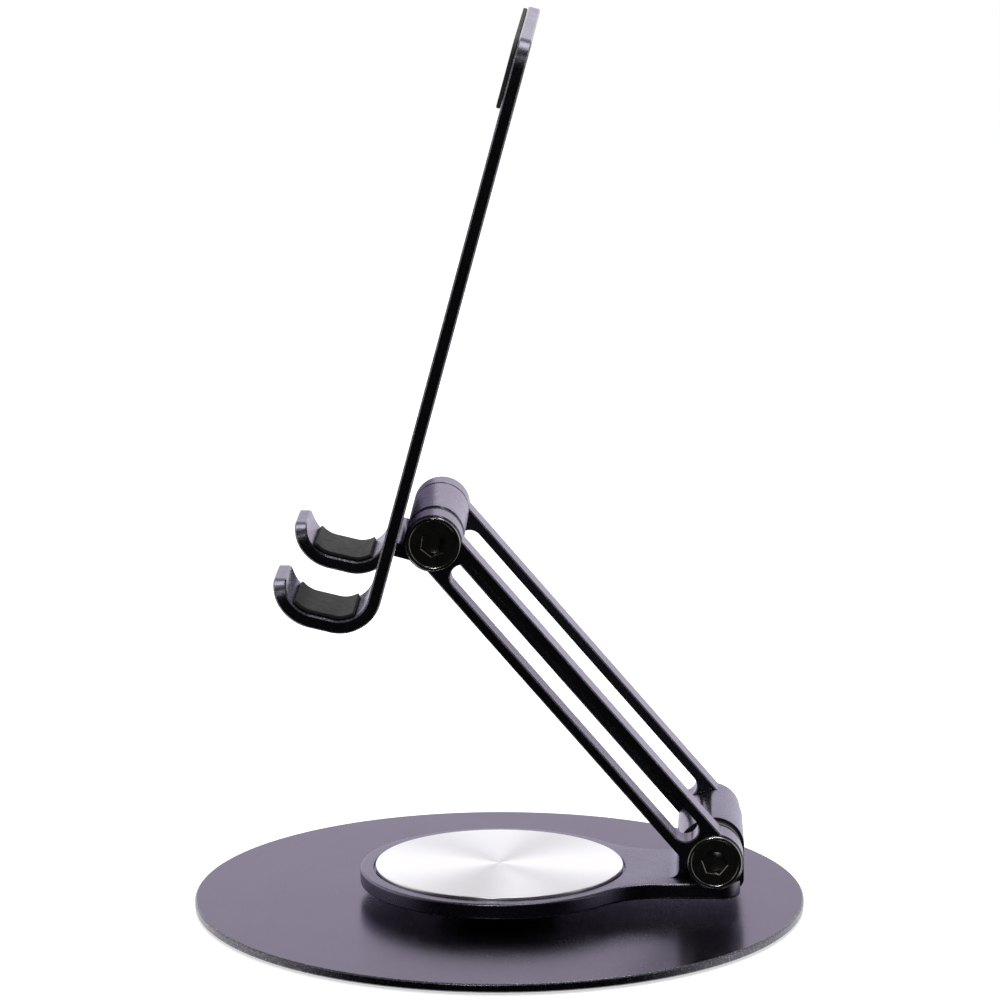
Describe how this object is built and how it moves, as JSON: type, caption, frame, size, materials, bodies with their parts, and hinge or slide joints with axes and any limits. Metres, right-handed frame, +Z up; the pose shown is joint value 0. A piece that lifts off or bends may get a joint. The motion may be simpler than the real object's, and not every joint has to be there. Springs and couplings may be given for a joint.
{
  "type": "tablet stand",
  "caption": "Folding desk stand for a tablet or phone: round swivelling base, slotted double arm with two friction hinges, and a holder plate with padded hooks.",
  "frame": {"origin": "middle of the round base's underside, on the swivel axis", "axes": "+Z up, +X from the swivel axis to the lower hinge, both hinge axes along Y"},
  "size_m": [0.14, 0.14, 0.2031],
  "materials": {
    "anodised": "black anodised aluminium, finely blasted, satin, with bright chamfered edges",
    "powder_coat": "fine satin black coat over steel plate",
    "spun_aluminium": "spun silver face with a radial sheen",
    "black_nickel": "polished black nickel",
    "zinc_steel": "zinc-plated steel",
    "spring_steel": "dark spring steel",
    "acetal": "black acetal",
    "silicone": "matte black silicone",
    "tape": "foam tape"
  },
  "bodies": {
    "base": {"base_disc": "powder_coat", "base_pad": "silicone", "pivot_flange": "zinc_steel", "flange_screw_1": "zinc_steel", "flange_screw_2": "zinc_steel", "flange_screw_3": "zinc_steel", "lower_thrust_washer": "acetal", "upper_thrust_washer": "acetal", "wave_washer": "spring_steel", "pivot_nut": "zinc_steel"},
    "hub": {"hub_bracket": "anodised", "spun_cap": "spun_aluminium", "cap_tape": "tape", "lower_bush": "acetal"},
    "arm": {"near_arm_plate": "anodised", "far_arm_plate": "anodised", "lower_hinge_bolt": "black_nickel", "lower_hinge_nut": "black_nickel", "lower_pressure_washer": "zinc_steel", "lower_disc_spring_1": "spring_steel", "lower_disc_spring_2": "spring_steel", "lower_disc_spring_3": "spring_steel", "lower_friction_washer": "acetal", "lower_far_washer": "acetal", "upper_hinge_bolt": "black_nickel", "upper_hinge_nut": "black_nickel", "upper_pressure_washer": "zinc_steel", "upper_disc_spring_1": "spring_steel", "upper_friction_washer": "acetal", "upper_far_washer": "acetal"},
    "holder": {"holder_plate": "anodised", "tilt_knuckle": "anodised", "plate_screw_1": "black_nickel", "plate_screw_2": "black_nickel", "plate_screw_3": "black_nickel", "top_pad": "silicone", "upper_bush": "acetal", "near_hook_pad": "silicone", "far_hook_pad": "silicone"}
  },
  "joints": [
    {"name": "base_swivel", "type": "hinge", "parent": "base", "child": "hub", "pos_m": [0, 0, 0.007], "axis": [0, 0, 1], "continuous": true},
    {"name": "arm_fold", "type": "hinge", "parent": "hub", "child": "arm", "pos_m": [0.04915, 0, 0.01656], "axis": [0, 1, 0], "range_deg": [-34, 46]},
    {"name": "head_tilt", "type": "hinge", "parent": "arm", "child": "holder", "pos_m": [-0.01388, 0, 0.08932], "axis": [0, 1, 0], "range_deg": [-20, 95]}
  ]
}
